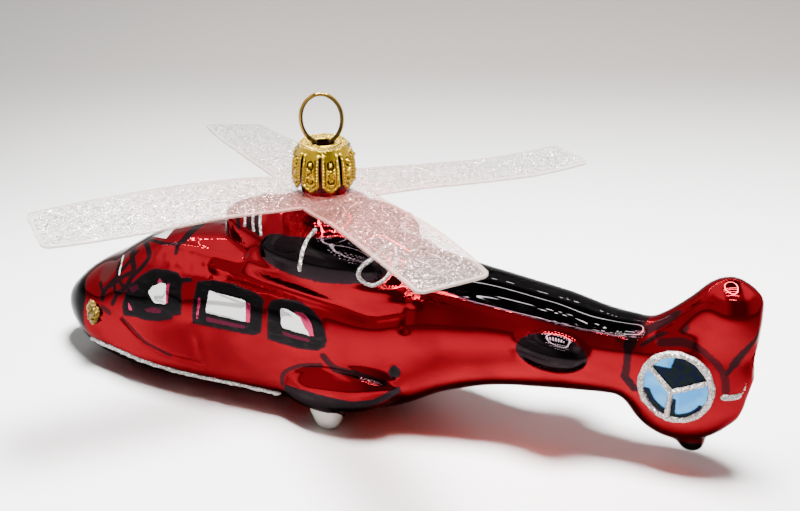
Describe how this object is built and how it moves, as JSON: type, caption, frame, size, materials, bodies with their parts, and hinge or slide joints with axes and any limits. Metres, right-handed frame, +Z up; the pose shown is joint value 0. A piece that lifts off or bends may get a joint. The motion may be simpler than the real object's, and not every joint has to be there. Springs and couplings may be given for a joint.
{
  "type": "helicopter hanging ornament",
  "caption": "Blown-glass Christmas ornament shaped like a helicopter, mirrored red glass with black paint and glitter, a white rotor sheet that turns, a crimped gold cap and a wire loop",
  "frame": {"origin": "centre of the bottom of the whole ornament's box, on the surface it stands on", "axes": "+X toward the tail with the nose at -X, +Y to the starboard side, +Z up along the glass neck"},
  "size_m": [0.1422, 0.0862, 0.0632],
  "materials": {
    "red_mirror_glass": "thin blown glass silvered inside, clear red lacquer outside with black gloss paint",
    "white_glitter_sheet": "die-cut translucent white sheet covered with silver glitter",
    "gold_cap_metal": "stamped thin sheet and spring wire, bright gold",
    "gold_glitter": "gold glitter in clear glue",
    "silver_glitter": "silver white glitter in clear glue"
  },
  "bodies": {
    "glass": {"glass_body": "red_mirror_glass", "nose_lamp_port": "gold_glitter", "nose_lamp_starboard": "gold_glitter", "fan_rim_port": "silver_glitter", "fan_rim_starboard": "silver_glitter"},
    "rotor_sheet": {"rotor": "white_glitter_sheet"},
    "cap_crown": {"cap": "gold_cap_metal"},
    "hanger": {"hanger_wire": "gold_cap_metal"}
  },
  "joints": [
    {"name": "rotor_spin", "type": "hinge", "parent": "glass", "child": "rotor_sheet", "pos_m": [-0.01175, 0, 0.0449], "axis": [0.0099, 0.1191, 0.9928], "continuous": true},
    {"name": "cap_pull", "type": "slide", "parent": "glass", "child": "cap_crown", "axis": [0, 0, 1], "range_m": [0, 0.012]},
    {"name": "loop_swivel", "type": "hinge", "parent": "cap_crown", "child": "hanger", "pos_m": [-0.01175, 0, 0.0535], "axis": [0, 0, 1], "continuous": true}
  ]
}
